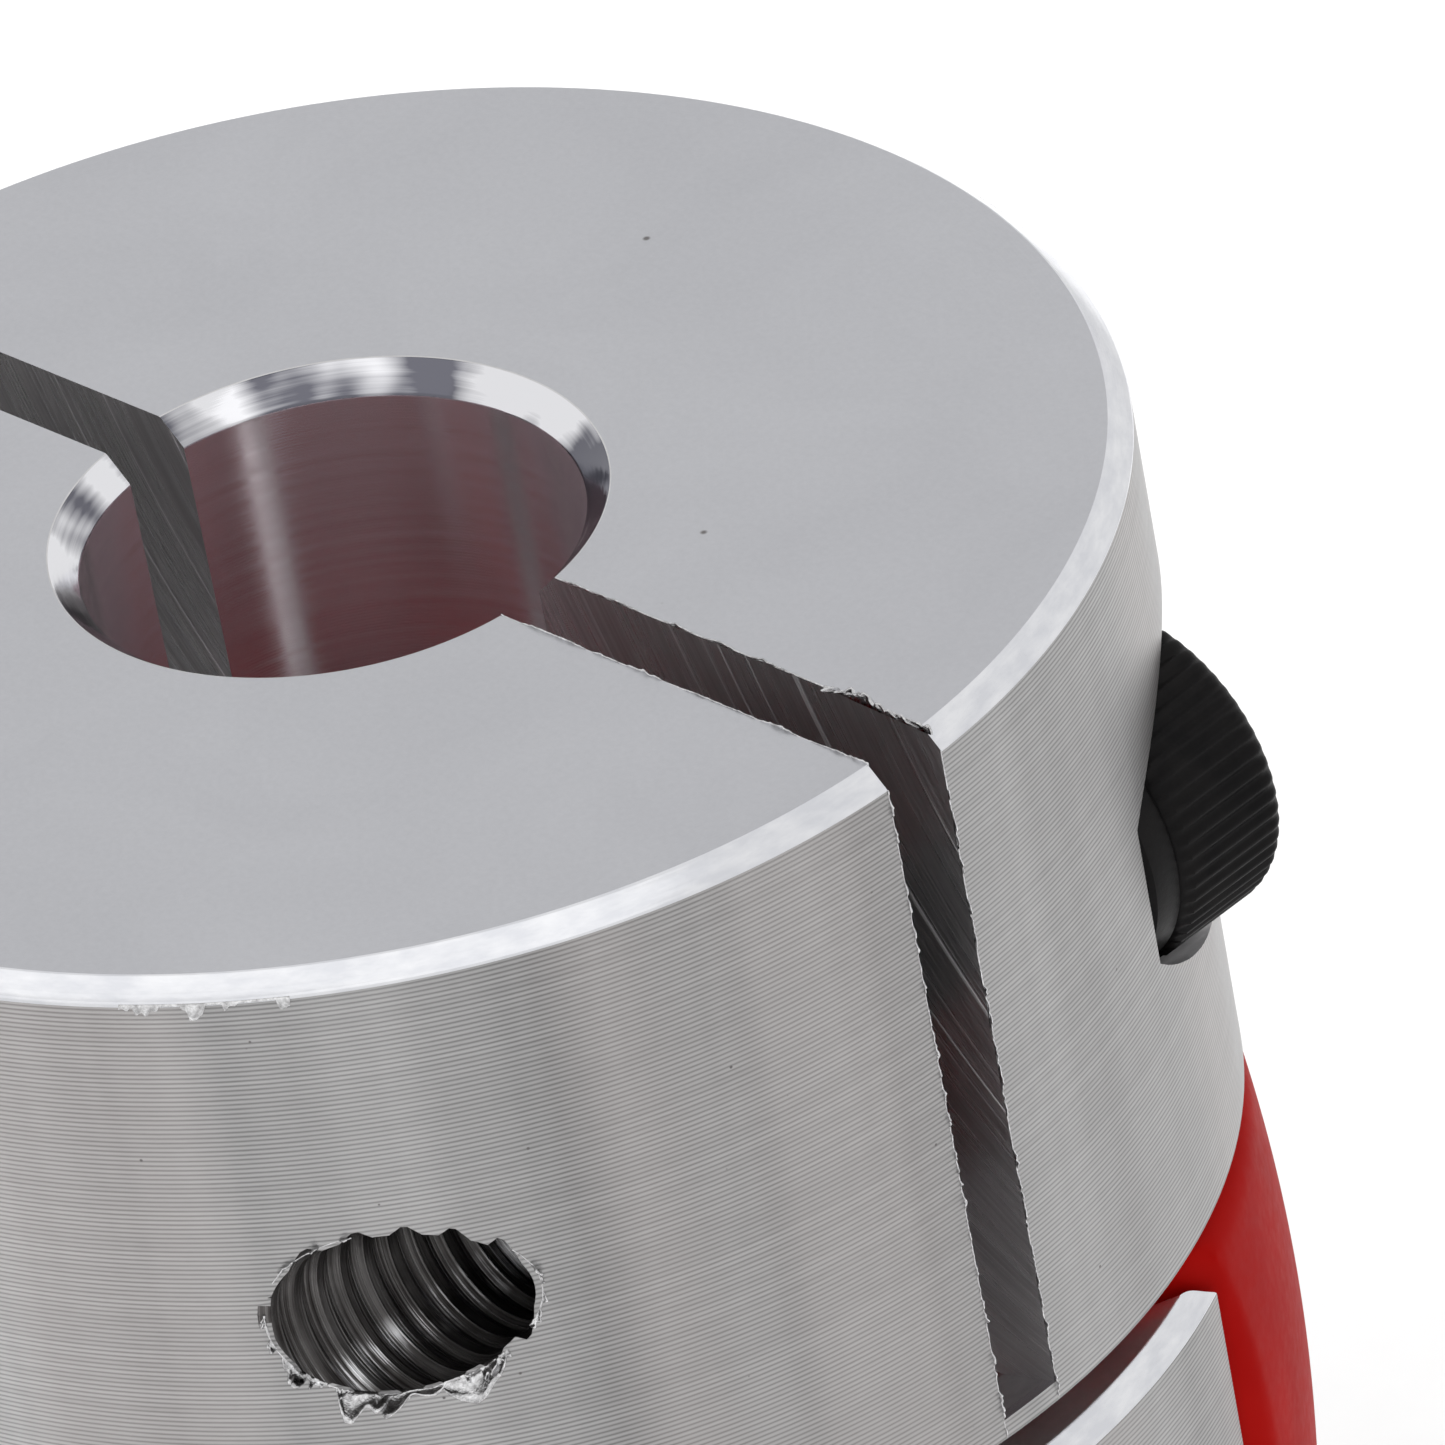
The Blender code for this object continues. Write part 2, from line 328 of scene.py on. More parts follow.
def jaw_gap_outline(flank_r):
    """What is cut away between the two jaws of a hub, on the +X side."""
    centre = polar(ARM_CENTRE_R, 45.0)
    side = 45.0 + flank_angle(flank_r, HUB_R)
    inner_r = JAW_INNER_R * 0.97
    start = heading(centre, polar(HUB_R, side))
    end = heading(centre, polar(inner_r, 45.0 + flank_angle(flank_r, inner_r)))
    if end < start:
        end += 360.0
    upper = [polar(FAR, side + 1.0)] + arc(centre, flank_r, start, end, 40)
    lower = [(x, -y) for x, y in reversed(upper)]
    return upper + lower + [polar(FAR * 1.3, -30.0), polar(FAR * 1.3, 30.0)]


def jaw_gap_cutter(name, side):
    """The gap between the jaws; it widens at the tips, so that their corners come out round."""
    layers = [(jaw_gap_outline(JAW_FLANK_R), FLOOR)]
    for turn in np.linspace(0.0, 90.0, 7):
        grown = JAW_CORNER_R * (1.0 - math.cos(math.radians(turn)))
        height = JAW_CORNER_R * (1.0 - math.sin(math.radians(turn)))
        layers.append((jaw_gap_outline(JAW_FLANK_R + grown), TIP + height))
    layers.append((layers[-1][0], TIP - 5 * MM))
    return lofted(name, [[(side * x, y, z) for x, y in outline] for outline, z in layers])


def petal_outline(gap, ring_points):
    """The plan of the spider: four round-sided arms, and the ring between them."""
    petal_r = JAW_FLANK_R - gap
    ring_r = JAW_INNER_R - gap
    half = flank_angle(petal_r, ring_r)
    points = []
    for angle in ARM_ANGLES:
        centre = polar(ARM_CENTRE_R, angle)
        first = heading(centre, polar(ring_r, angle - half))
        last = heading(centre, polar(ring_r, angle + half))
        while last < first:
            last += 360.0
        points += arc(centre, petal_r, first, last, 72)
        points += arc((0.0, 0.0), ring_r, angle + half, angle + 90.0 - half, ring_points)[1:-1]
    return points


def rounded_corner(corner, before, after, radius, count=3):
    """The points that replace a profile's corner by a small round, for legs towards before and after."""
    corner, before, after = Vector(corner), Vector(before), Vector(after)
    one = (before - corner).normalized()
    two = (after - corner).normalized()
    start = corner + one * radius
    end = corner + two * radius
    points = []
    for i in range(count + 1):
        t = i / count
        points.append(tuple((1 - t) ** 2 * start + 2 * t * (1 - t) * corner + t**2 * end))
    return points


def hub_profile():
    """The (radius, z) section of a hub, with every corner broken by a small round."""
    sharp = [
        (HUB_R - OUTER_CHAMFER, TOP), (HUB_R, TOP - OUTER_CHAMFER), (HUB_R, TIP + TIP_CHAMFER),
        (HUB_R - TIP_CHAMFER, TIP), (JAW_INNER_R, TIP), (JAW_INNER_R, FLOOR), (BORE_R, FLOOR),
        (BORE_R, TOP - BORE_CHAMFER), (BORE_R + BORE_CHAMFER, TOP),
    ]
    inside = ((JAW_INNER_R, FLOOR), (BORE_R, FLOOR))
    points = []
    for i, corner in enumerate(sharp):
        size = INSIDE_EDGE_ROUND if corner in inside else EDGE_ROUND
        points += rounded_corner(corner, sharp[i - 1], sharp[(i + 1) % len(sharp)], size)
    return points


def hub_mesh():
    hub = revolved("hub", list(reversed(hub_profile())), HUB_STEPS)
    boolean(hub, jaw_gap_cutter("gap_near", 1.0))
    boolean(hub, jaw_gap_cutter("gap_far", -1.0))
    across = Vector((0.0, 1.0, 0.0))
    saw = Vector((SAW_X, 0.0, SAW_Z))
    boolean(hub, rod("saw", SAW_R, saw - across * SLIT_W / 2, saw + across * SLIT_W / 2, HUB_STEPS))
    axis = Vector((SCREW_X, 0.0, SCREW_Z))
    seat = axis + across * SEAT_Y
    boolean(hub, rod("pocket", POCKET_R, seat, axis + across * FAR, POCKET_STEPS))
    boolean(hub, rod("clearance", CLEARANCE_R, axis - across * SLIT_W / 4, seat + across * MM, HOLE_STEPS))
    boolean(hub, rod("tapping", THREAD_MINOR_R, axis - across * FAR, axis, HOLE_STEPS))
    groove = thread_groove("groove", THREAD_MINOR_R, THREAD_MAJOR_R, THREAD_PITCH, THREAD_L, GROOVE_STEPS)
    groove.data.transform(Matrix.Translation(axis) @ Matrix.Rotation(-math.pi / 2, 4, "X"))
    boolean(hub, groove)
    return hub


def spider_mesh():
    """The red insert: four crowned arms on a ring, with a round hole, softened like a moulding."""
    half = SPIDER_H / 2
    core = SPIDER_CORE_H / 2
    side = []
    for i in range(SPIDER_ROWS + 1):
        z = (half - SPIDER_ROUND) * (1 - i / (SPIDER_ROWS / 2))
        side.append((SPIDER_BULGE_R - (SPIDER_BULGE_R - SPIDER_END_R) * (z / half) ** 2, z))
    corner = arc((side[0][0] - SPIDER_ROUND, half - SPIDER_ROUND), SPIDER_ROUND, 90.0, 10.0, 6)
    below = [(r, -z) for r, z in reversed(corner)]
    step = SPIDER_CORE_R + SPIDER_STEP
    profile = [(SPIDER_HOLE_R, core), (SPIDER_CORE_R, core), (step, half)]
    profile += corner + side + below
    profile += [(step, -half), (SPIDER_CORE_R, -core), (SPIDER_HOLE_R, -core)]
    spider = revolved("spider_insert", profile, HUB_STEPS)
    boolean(spider, prism("plan", petal_outline(FIT_GAP, 24), -half - MM, half + MM), "INTERSECT")
    remesh = spider.modifiers.new("remesh", "REMESH")
    remesh.mode = "VOXEL"
    remesh.voxel_size = SPIDER_VOXEL
    soften = spider.modifiers.new("soften", "SMOOTH")
    soften.factor = 0.5
    soften.iterations = 5
    apply_modifiers(spider)
    spider.data.shade_smooth()
    return spider


def hexagon_r(degrees, across_flats):
    """How far the side of a hexagon stands from its centre in one direction."""
    return across_flats / 2 / math.cos(math.radians((degrees + 30.0) % 60.0 - 30.0))


def screw_angles():
    """The directions of the columns of a screw's mesh: a few for each tooth of the knurl."""
    columns = KNURL_TEETH * len(KNURL_TOOTH)
    return [360.0 * i / columns for i in range(columns)]


def circle_ring(radius, z, knurl=0.0):
    return [
        (radius - knurl * (1.0 - KNURL_TOOTH[i % len(KNURL_TOOTH)]), z)
        for i in range(len(screw_angles()))
    ]


def hexagon_ring(grown, z):
    return [(hexagon_r(a, SOCKET_AF) + grown, z) for a in screw_angles()]


def head_rings():
    """From the bottom of the socket over the knurled head to the shank; a ring is a list of (radius, z)."""
    floor = HEAD_H - SOCKET_DEPTH
    rings = [circle_ring(0.25 * MM, floor - SOCKET_POINT), circle_ring(SOCKET_AF * 0.47, floor - 0.15 * MM)]
    rings += [hexagon_ring(-0.04 * MM, floor), hexagon_ring(0.0, floor + 0.1 * MM)]
    rings += [hexagon_ring(0.0, HEAD_H - z * MM) for z in (1.4, 0.7, 0.2)]
    rings += [hexagon_ring(0.03 * MM, HEAD_H - 0.1 * MM), hexagon_ring(0.16 * MM, HEAD_H)]
    rings += [circle_ring(HEAD_R - HEAD_ROUND - 0.25 * MM, HEAD_H)]
    knurl_from = 75.0
    for turn in (90.0, 75.0, 60.0, 45.0, 30.0, 15.0, 0.0):
        r, z = polar(HEAD_ROUND, turn)
        depth = KNURL_DEPTH * (1.0 - turn / knurl_from) if turn < knurl_from else 0.0
        rings.append(circle_ring(HEAD_R - HEAD_ROUND + r, HEAD_H - HEAD_ROUND + z, depth))
    low = COLLAR_H + 0.25 * MM
    for t in (0.25, 0.5, 0.75, 1.0):
        z = HEAD_H - HEAD_ROUND + (low - HEAD_H + HEAD_ROUND) * t
        rings.append(circle_ring(HEAD_R, z, KNURL_DEPTH))
    rings.append(circle_ring(COLLAR_R + 0.02 * MM, COLLAR_H + 0.05 * MM))
    rings.append(circle_ring(COLLAR_R - 0.08 * MM, COLLAR_H - 0.03 * MM))
    rings += [circle_ring(COLLAR_R, COLLAR_H - 0.15 * MM), circle_ring(COLLAR_R, 0.15 * MM)]
    rings += [circle_ring(COLLAR_R - 0.12 * MM, 0.02 * MM), circle_ring(SCREW_R + 0.35 * MM, 0.02 * MM)]
    rings += [circle_ring(SCREW_R, -0.25 * MM), circle_ring(SCREW_R, -SCREW_NECK)]
    return rings


def shank_rings():
    """The threaded shank: the thread deepens over its first rows and ends in a chamfer."""
    rings = []
    length = SCREW_L - SCREW_NECK
    rows = int(length / THREAD_PITCH * ROWS_A_TURN)
    for row in range(1, rows + 1):
        z = -SCREW_NECK - length * row / rows
        into = min(1.0, row / RUN_IN_ROWS)
        end = max(0.0, (-z - (SCREW_L - SCREW_POINT)) / SCREW_POINT)
        ring = []
        for a in screw_angles():
            phase = (z / THREAD_PITCH - a / 360.0) % 1.0
            ridge = min(1.0, max(0.0, 1.9 * abs(2.0 * phase - 1.0) - 0.35))
            radius = SCREW_R - SCREW_THREAD_DEPTH * (1.0 - ridge) * into
            ring.append((min(radius, SCREW_R - 0.75 * MM * end), z))
        rings.append(ring)
    return rings


def screw_mesh(name):
    """A cap screw along Z, under-head face on z = 0: knurled head, hex socket, thread of THREAD_PITCH."""
    angles = screw_angles()
    columns = len(angles)
    bm = bmesh.new()
    made = [
        [bm.verts.new((*polar(r, a), z)) for (r, z), a in zip(ring, angles)]
        for ring in head_rings() + shank_rings()
    ]
    for first, second in zip(made, made[1:]):
        for i in range(columns):
            j = (i + 1) % columns
            bm.faces.new((first[i], second[i], second[j], first[j]))
    bottom = HEAD_H - SOCKET_DEPTH - SOCKET_POINT - 0.1 * MM
    top = bm.verts.new((0.0, 0.0, bottom))
    tip = bm.verts.new((0.0, 0.0, -SCREW_L))
    for i in range(columns):
        j = (i + 1) % columns
        bm.faces.new((top, made[0][i], made[0][j]))
        bm.faces.new((tip, made[-1][j], made[-1][i]))
    bmesh.ops.recalc_face_normals(bm, faces=bm.faces)
    screw = mesh_object(name, bm)
    smooth_by_angle(screw, 38)
    return screw


# ---------------------------------------------------------------- burrs

BURR_SINK = 0.06 * MM               # how far a burr's root lies under the surface
BURR_THICKNESS = 0.035 * MM


def burr_ribbon(name, path, outward, lean, height, seed, grain, sink=BURR_SINK, thickness=BURR_THICKNESS):
    """A torn edge along a path: a thin curled ribbon whose height comes and goes, so that only flakes show.
    outward and lean give for each point the way it stands up and the way it curls; height is a function."""
    count = len(path)
    rows = 5
    bm = bmesh.new()
    grid = []
    travelled = 0.0
    for i, point in enumerate(path):
        travelled += (path[i] - path[i - 1]).length if i else 0.0
        tall = height(travelled, i / (count - 1))
        jitter = noise.noise_vector(Vector((travelled / grain, seed, 0.3)))
        line = []
        for k in range(rows):
            up = k / (rows - 1)
            bend = 0.9 + 0.9 * noise.noise(Vector((travelled / grain * 0.6, seed, 7.1)))
            curl = lean[i] * (up * up * tall * bend)
            crease = noise.noise_vector(Vector((travelled / grain * 1.7, up * 1.9, seed + 11.0)))
            place = point - outward[i] * sink + outward[i] * ((tall + sink) * up) + curl
            place += jitter * (0.10 * MM * up * min(1.0, tall / (0.25 * MM))) + crease * (0.20 * tall * up)
            line.append(bm.verts.new(place))
        grid.append(line)
    for first, second in zip(grid, grid[1:]):
        for k in range(rows - 1):
            bm.faces.new((first[k], first[k + 1], second[k + 1], second[k]))
    obj = mesh_object(name, bm)
    shell = obj.modifiers.new("shell", "SOLIDIFY")
    shell.thickness = thickness
    shell.offset = 0.0
    apply_modifiers(obj)
    obj.data.shade_smooth()
    return obj


def flakes(seed, grain, tallest, threshold, share=None):
    """Heights along a torn edge: noise over a threshold stands up, and the rest lies under the surface."""
    def height(travelled, t):
        value = noise.noise(Vector((travelled / grain, seed * 3.7, 1.9)))
        value = 0.5 + 0.65 * value + 0.25 * noise.noise(Vector((travelled / grain * 3.1, seed, 5.0)))
        value = min(1.0, max(0.0, 1.5 * (value - threshold) / (1.0 - threshold)))
        return tallest * value * (share(t) if share else 1.0)
    return height


def plate(t):
    """The outline of one broad flake along its length."""
    return min(1.0, 5.0 * t, 5.0 * (1.0 - t)) ** 0.7


def arch(t):
    """The outline of a chip that is tallest in the middle."""
    return math.sin(math.pi * t)


def exit_edge(start, end, count):
    """The rim of the tapped hole on the outside of the hub, by angle round the hole's axis."""
    path, outward, lean = [], [], []
    for a in np.linspace(start, end, count):
        dx, dz = polar((THREAD_MAJOR_R + THREAD_MINOR_R) / 2, a)
        x = SCREW_X + dx
        point = Vector((x, -math.sqrt(HUB_R**2 - x * x), SCREW_Z + dz))
        normal = Vector((point.x, point.y, 0.0)).normalized()
        away = Vector((dx, 0.0, dz)).normalized()
        away = (away - normal * away.dot(normal)).normalized()
        path.append(point)
        outward.append((away * 0.80 + normal * 0.60).normalized())
        lean.append(normal * 0.65 - away * 0.5)
    return path, outward, lean


def straight_edge(start, end, outward, lean, count):
    start, end = Vector(start), Vector(end)
    path = [start.lerp(end, i / (count - 1)) for i in range(count)]
    return path, [Vector(outward).normalized()] * count, [Vector(lean)] * count


# The torn rim of the tapped hole: from and to in degrees round the hole, points along it, seed, length and
# height of a flake, the share that stays under the surface, the shape of a flake, the size of its creases
RIM_BURRS = {
    "exit_low": (-122.0, -98.0, 150, 3, 1.6 * MM, 0.8 * MM, 0.2, plate, 0.8 * MM),
    "exit_low_b": (-104.0, -74.0, 170, 8, 1.9 * MM, 0.7 * MM, 0.2, plate, 0.9 * MM),
    "exit_low_c": (-76.0, -46.0, 170, 14, 1.9 * MM, 0.75 * MM, 0.15, plate, 0.9 * MM),
    "exit_ragged": (-140.0, -44.0, 420, 17, 0.45 * MM, 0.40 * MM, 0.5, None, 0.25 * MM),
    "exit_left": (-186.0, -126.0, 260, 5, 0.4 * MM, 0.35 * MM, 0.45, None, 0.2 * MM),
    "exit_top": (100.0, 150.0, 200, 9, 0.4 * MM, 0.25 * MM, 0.45, None, 0.2 * MM),
    "exit_right": (-28.0, 30.0, 160, 6, 0.4 * MM, 0.22 * MM, 0.45, None, 0.2 * MM),
}
FINE_SINK = 0.03 * MM
FINE_THICKNESS = 0.03 * MM


def rim_burrs(prefix):
    """What the tap tore out round the end of its hole."""
    made = []
    for label, settings in RIM_BURRS.items():
        start, end, count, seed, length, tallest, under, shape, crease = settings
        made.append(burr_ribbon(prefix + label, *exit_edge(start, end, count),
                                flakes(seed, length, tallest, under, shape), seed, crease))
    return made


def slit_burrs(prefix):
    """The thin bright edges that the saw left on both sides of the slit, on top and down the side."""
    half = SLIT_W / 2
    inner = math.sqrt((BORE_R + BORE_CHAMFER)**2 - half**2)
    outer = HUB_R - OUTER_CHAMFER
    x = math.sqrt(HUB_R**2 - half**2)
    made = []
    for side, label in ((1.0, "far"), (-1.0, "near")):
        seed = 11 + side
        top = straight_edge((inner, side * half, TOP), (outer, side * half, TOP),
                            (0, side * 0.5, 1), (0, -side * 0.6, 0.2), 500)
        made.append(burr_ribbon(f"{prefix}slit_top_{label}", *top, flakes(seed, 0.9 * MM, 0.075 * MM, 0.3),
                                seed, 0.15 * MM, FINE_SINK, FINE_THICKNESS))
        seed = 21 + side
        down = straight_edge((x, side * half, TOP - OUTER_CHAMFER), (x, side * half, FLOOR),
                             (1, side * 0.5, 0), (0.2, -side * 0.7, 0), 700)
        made.append(burr_ribbon(f"{prefix}slit_side_{label}", *down, flakes(seed, 0.4 * MM, 0.09 * MM, 0.38),
                                seed, 0.12 * MM, FINE_SINK, FINE_THICKNESS))
    return made


def torn_edge(prefix):
    """The torn stretch and the curled chip at the outer end of the slit, where the saw broke in."""
    half = SLIT_W / 2
    torn_from, torn_to = 17.0 * MM, HUB_R - OUTER_CHAMFER + 0.3 * MM
    curl_from, curl_to = 16.4 * MM, 17.2 * MM
    crease = 0.16 * MM
    sink = 0.05 * MM
    edge = straight_edge((torn_from, half, TOP), (torn_to, half, TOP - 0.1 * MM),
                         (0, 0.3, 1), (0, -0.9, 0.1), 260)
    torn = burr_ribbon(prefix + "torn", *edge, flakes(31, 0.4 * MM, 0.4 * MM, 0.2),
                       31, crease, sink, 0.05 * MM)
    edge = straight_edge((curl_from, half, TOP), (curl_to, half, TOP), (0, -0.2, 1), (0.2, -0.9, 0.1), 90)
    curl = burr_ribbon(prefix + "curl", *edge, flakes(34, 0.3 * MM, 0.6 * MM, 0.15, arch),
                       34, crease, sink, 0.04 * MM)
    return [torn, curl]


def chamfer_burr(name, start, end, tallest, seed):
    """A few nicks on the lower edge of the outer chamfer, by angle round the hub."""
    path, outward, lean = [], [], []
    for a in np.linspace(start, end, 260):
        around = Vector((*polar(1.0, a), 0.0))
        path.append(around * HUB_R + Vector((0.0, 0.0, TOP - OUTER_CHAMFER)))
        outward.append((around * 0.8 - Vector((0.0, 0.0, 0.6))).normalized())
        lean.append(around * 0.3 - Vector((0.0, 0.0, 1.0)))
    return burr_ribbon(name, path, outward, lean, flakes(seed, 0.6 * MM, tallest, 0.52), seed, 0.3 * MM)


# ---------------------------------------------------------------- materials

class Shader:
    """A material built up from short calls that each add one node."""

    def __init__(self, name):
        self.material = bpy.data.materials.new(name)
        self.material.use_nodes = True
        self.tree = self.material.node_tree
        self.bsdf = self.tree.nodes["Principled BSDF"]
        coordinates = self.tree.nodes.new("ShaderNodeTexCoord")
        split = self.tree.nodes.new("ShaderNodeSeparateXYZ")
        self.point = coordinates.outputs["Object"]
        self.tree.links.new(self.point, split.inputs[0])
        self.x, self.y, self.z = split.outputs

    def put(self, socket, value):
        if isinstance(value, bpy.types.NodeSocket):
            self.tree.links.new(value, socket)
        else:
            socket.default_value = value

    def math(self, operation, first, second=0.0, third=0.0):
        node = self.tree.nodes.new("ShaderNodeMath")
        node.operation = operation
        for socket, value in zip(node.inputs, (first, second, third)):
            self.put(socket, value)
        return node.outputs[0]

    def radius(self):
        """Distance from the axis."""
        return self.math("SQRT", self.math("ADD", self.math("MULTIPLY", self.x, self.x),
                                           self.math("MULTIPLY", self.y, self.y)))

    def vector(self, x, y, z):
        node = self.tree.nodes.new("ShaderNodeCombineXYZ")
        for socket, value in zip(node.inputs, (x, y, z)):
            self.put(socket, value)
        return node.outputs[0]

    def stretched(self, x, y, z):
        node = self.tree.nodes.new("ShaderNodeMapping")
        self.put(node.inputs["Vector"], self.point)
        node.inputs["Scale"].default_value = (x, y, z)
        return node.outputs[0]

    def noise(self, vector, scale, detail=3.0, rough=0.55, distortion=0.0):
        node = self.tree.nodes.new("ShaderNodeTexNoise")
        self.put(node.inputs["Vector"], vector)
        node.inputs["Scale"].default_value = scale
        node.inputs["Detail"].default_value = detail
        node.inputs["Roughness"].default_value = rough
        node.inputs["Distortion"].default_value = distortion
        return node.outputs["Fac"]

    def specks(self, scale, low, high):
        """1 inside small round specks, 0 elsewhere."""
        node = self.tree.nodes.new("ShaderNodeTexVoronoi")
        self.put(node.inputs["Vector"], self.point)
        node.inputs["Scale"].default_value = scale
        return self.span(node.outputs["Distance"], high, low, 0.0, 1.0)

    def span(self, value, low, high, to_low, to_high):
        node = self.tree.nodes.new("ShaderNodeMapRange")
        for socket, given in zip(node.inputs, (value, low, high, to_low, to_high)):
            self.put(socket, given)
        return node.outputs[0]

    def mix(self, factor, first, second):
        node = self.tree.nodes.new("ShaderNodeMix")
        node.data_type = "RGBA"
        self.put(node.inputs["Factor"], factor)
        for socket, colour in ((node.inputs["A"], first), (node.inputs["B"], second)):
            self.put(socket, colour if isinstance(colour, bpy.types.NodeSocket) else (*colour, 1.0))
        return node.outputs["Result"]

    def bump(self, height, distance, strength=1.0, onto=None):
        node = self.tree.nodes.new("ShaderNodeBump")
        self.put(node.inputs["Height"], height)
        node.inputs["Distance"].default_value = distance
        node.inputs["Strength"].default_value = strength
        if onto is not None:
            self.tree.links.new(onto, node.inputs["Normal"])
        return node.outputs["Normal"]

    def finish(self, **sockets):
        for name, value in sockets.items():
            if isinstance(value, tuple):
                value = (*value, 1.0)
            self.put(self.bsdf.inputs[name.replace("_", " ").title().replace("Ior", "IOR")], value)
        return self.material

    def around_axis(self, anisotropy):
        tangent = self.tree.nodes.new("ShaderNodeTangent")
        tangent.direction_type = "RADIAL"
        tangent.axis = "Z"
        self.tree.links.new(tangent.outputs[0], self.bsdf.inputs["Tangent"])
        self.bsdf.inputs["Anisotropic"].default_value = anisotropy


def grooves(shader, along, pitch, wander):
    """A turned surface's lines: a wave across the feed whose strength changes from line to line."""
    drift = shader.noise(shader.stretched(60.0, 60.0, 240.0), 1.0, 2.0)
    feed = shader.math("MULTIPLY", along, math.tau / pitch)
    phase = shader.math("ADD", feed, shader.math("MULTIPLY", drift, wander))
    wave = shader.math("ABSOLUTE", shader.math("SINE", shader.math("MULTIPLY", phase, 0.5)))
    across = shader.vector(shader.math("MULTIPLY", along, 0.4 / pitch), 0.0, drift)
    lines = shader.noise(across, 1.0, 3.0, 0.6)
    return wave, lines


def turned_aluminium():
    """The outside: a coarse feed with clear lines, and soft bands along the axis."""
    s = Shader("turned_aluminium")
    wave, lines = grooves(s, s.z, GROOVE_PITCH, 1.2)
    bands = s.noise(s.stretched(260.0, 260.0, 6.0), 1.0, 3.0)
    grit = s.noise(s.stretched(700.0, 700.0, 9000.0), 1.0, 3.0, 0.7)
    cut = s.math("MULTIPLY", wave, s.span(lines, 0.3, 0.7, 0.75, 1.0))
    relief = s.math("ADD", cut, s.math("MULTIPLY", grit, 0.3))
    shade = s.math("ADD", s.math("MULTIPLY", relief, 0.45), s.math("MULTIPLY", bands, 0.55))
    colour = s.mix(s.span(shade, 0.2, 0.85, 0.0, 1.0), (0.165, 0.163, 0.163), (0.48, 0.475, 0.475))
    warm = s.noise(s.stretched(140.0, 140.0, 3.0), 1.0, 1.0)
    colour = s.mix(s.span(warm, 0.52, 0.66, 0.0, 0.12), colour, (0.50, 0.42, 0.40))
    pits = s.specks(700.0, 0.02, 0.035)
    colour = s.mix(pits, colour, (0.16, 0.15, 0.15))
    s.around_axis(0.45)
    return s.finish(base_color=colour, metallic=1.0, roughness=s.span(relief, 0.0, 1.3, 0.40, 0.27),
                    normal=s.bump(relief, 0.0065 * MM, 1.0))


def faced_aluminium():
    """The end faces: fine circles from facing, faint smudges and a few specks."""
    s = Shader("faced_aluminium")
    radius = s.radius()
    wave, lines = grooves(s, radius, 0.11 * MM, 1.5)
    smudge = s.noise(s.point, 160.0, 4.0, 0.6, 0.6)
    grain = s.noise(s.point, 5200.0, 3.0, 0.7)
    edge = s.span(radius, 15.0 * MM, HUB_R, 0.35, 1.0)
    relief = s.math("MULTIPLY", s.math("ADD", wave, s.math("MULTIPLY", lines, 0.7)), edge)
    shade = s.math("ADD", s.math("MULTIPLY", smudge, 0.5), s.math("MULTIPLY", grain, 0.5))
    colour = s.mix(s.span(shade, 0.3, 0.7, 0.0, 1.0), (0.545, 0.55, 0.58), (0.62, 0.625, 0.655))
    pits = s.specks(260.0, 0.02, 0.034)
    colour = s.mix(pits, colour, (0.2, 0.19, 0.19))
    return s.finish(base_color=colour, metallic=1.0, roughness=s.span(shade, 0.3, 0.7, 0.34, 0.42),
                    normal=s.bump(relief, 0.0016 * MM, 0.8))


def chamfer_aluminium():
    """The bright cuts of the chamfer tool."""
    s = Shader("chamfer_aluminium")
    wave, lines = grooves(s, s.z, 0.13 * MM, 1.0)
    chatter = s.noise(s.stretched(900.0, 900.0, 3500.0), 1.0, 3.0)
    colour = s.mix(s.span(chatter, 0.35, 0.7, 0.0, 1.0), (0.78, 0.79, 0.83), (0.92, 0.925, 0.95))
    relief = s.math("ADD", s.math("MULTIPLY", wave, 0.3), chatter)
    return s.finish(base_color=colour, metallic=1.0, roughness=s.span(lines, 0.3, 0.7, 0.12, 0.22),
                    normal=s.bump(relief, 0.004 * MM, 0.7))


def countersunk_aluminium():
    """The chamfer of the bore: burnished nearly to a mirror, with painted reflections, dark and bright
    patches in its colour, round it.
    """
    s = Shader("countersunk_aluminium")
    painted_light_patches = s.noise(s.stretched(330.0, 330.0, 60.0), 1.0, 2.0, 0.55)
    rings = s.noise(s.stretched(120.0, 120.0, 9000.0), 1.0, 3.0, 0.6)
    shade = s.math("ADD", s.math("MULTIPLY", painted_light_patches, 0.88), s.math("MULTIPLY", rings, 0.12))
    # painted reflection: the dark and bright patches in this colour stand for what the mirror-like chamfer
    # reflects
    colour = s.mix(s.span(shade, 0.43, 0.56, 0.0, 1.0), (0.16, 0.16, 0.19), (0.93, 0.93, 0.96))
    return s.finish(base_color=colour, metallic=1.0, roughness=s.span(rings, 0.3, 0.7, 0.07, 0.14),
                    normal=s.bump(rings, 0.004 * MM, 0.7))


def bored_aluminium():
    """The reamed bore: close to a mirror, with the feed of the reamer round it."""
    s = Shader("bored_aluminium")
    wave, lines = grooves(s, s.z, 0.09 * MM, 1.2)
    streaks = s.noise(s.stretched(160.0, 160.0, 2600.0), 1.0, 4.0, 0.65)
    # painted reflection: the pink tint of the bore's colour stands for the red spider reflected in the wall
    colour = s.mix(s.span(streaks, 0.3, 0.7, 0.0, 1.0), (0.94, 0.83, 0.87), (0.98, 0.87, 0.91))
    relief = s.math("ADD", s.math("MULTIPLY", wave, 0.5), s.math("MULTIPLY", streaks, 0.8))
    return s.finish(base_color=colour, metallic=0.90, roughness=s.span(lines, 0.3, 0.7, 0.13, 0.21),
                    normal=s.bump(relief, 0.0013 * MM, 0.8))


